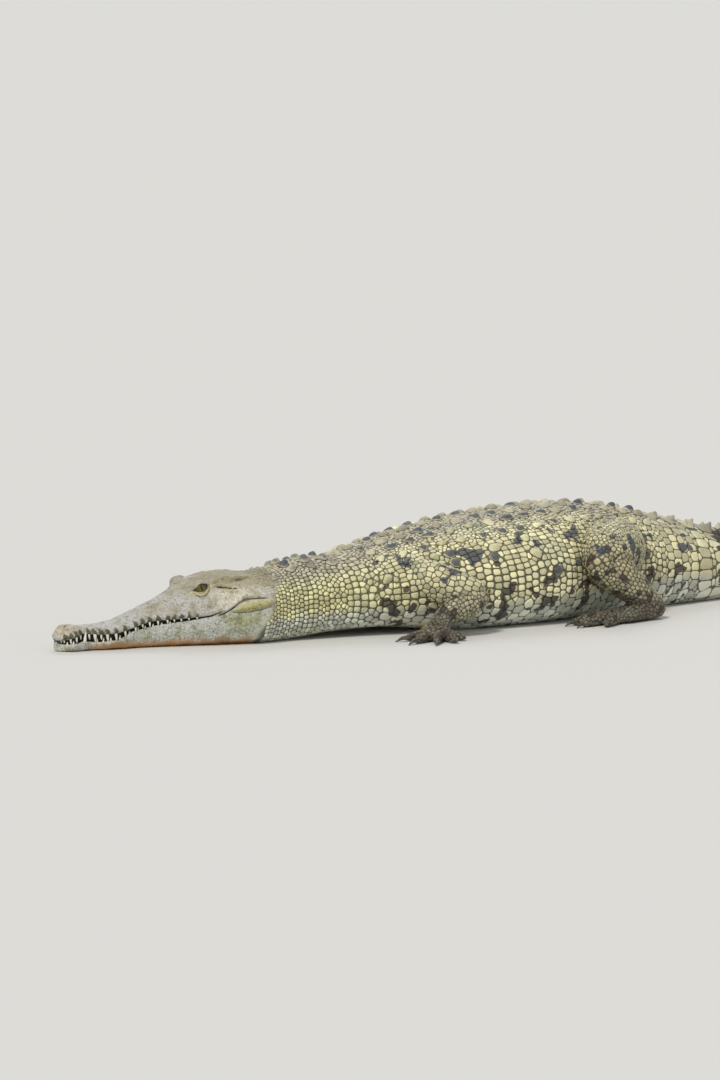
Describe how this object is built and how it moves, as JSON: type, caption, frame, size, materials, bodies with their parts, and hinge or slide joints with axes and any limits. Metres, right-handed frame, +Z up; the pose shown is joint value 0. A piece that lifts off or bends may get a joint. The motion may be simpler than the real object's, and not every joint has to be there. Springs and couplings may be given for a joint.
{
  "type": "american crocodile, still life-size model",
  "caption": "Life-size crocodile lying flat on its belly, jaws closed with teeth showing, legs folded beside the body and the long crested tail in a gentle curve.",
  "frame": {"origin": "on the floor, under the middle of the whole animal's bounding box", "axes": "+X from the head towards the tail along the trunk, +Y to the animal's right, +Z up"},
  "size_m": [2.5842, 0.535, 0.2098],
  "materials": {
    "body_hide": "matte",
    "head_hide": "matte",
    "limb_hide": "matte",
    "tooth": "satin",
    "eye": "gloss",
    "claw": "satin"
  },
  "bodies": {
    "root": {"claw_foot_left_1": "claw", "claw_foot_left_2": "claw", "claw_foot_left_3": "claw", "claw_foot_right_1": "claw", "claw_foot_right_2": "claw", "claw_foot_right_3": "claw", "claw_hand_left_1": "claw", "claw_hand_left_2": "claw", "claw_hand_left_3": "claw", "claw_hand_right_1": "claw", "claw_hand_right_2": "claw", "claw_hand_right_3": "claw", "eye_left": "eye", "eye_right": "eye", "foot_left": "limb_hide", "foot_right": "limb_hide", "forearm_left": "limb_hide", "forearm_right": "limb_hide", "hand_left": "limb_hide", "hand_right": "limb_hide", "head": "head_hide", "lower_jaw": "head_hide", "neck": "body_hide", "shank_left": "limb_hide", "shank_right": "limb_hide", "tail_1": "body_hide", "tail_2": "body_hide", "tail_3": "body_hide", "tail_4": "body_hide", "thigh_left": "limb_hide", "thigh_right": "limb_hide", "trunk": "body_hide", "upper_arm_left": "limb_hide", "upper_arm_right": "limb_hide"}
  },
  "joints": []
}
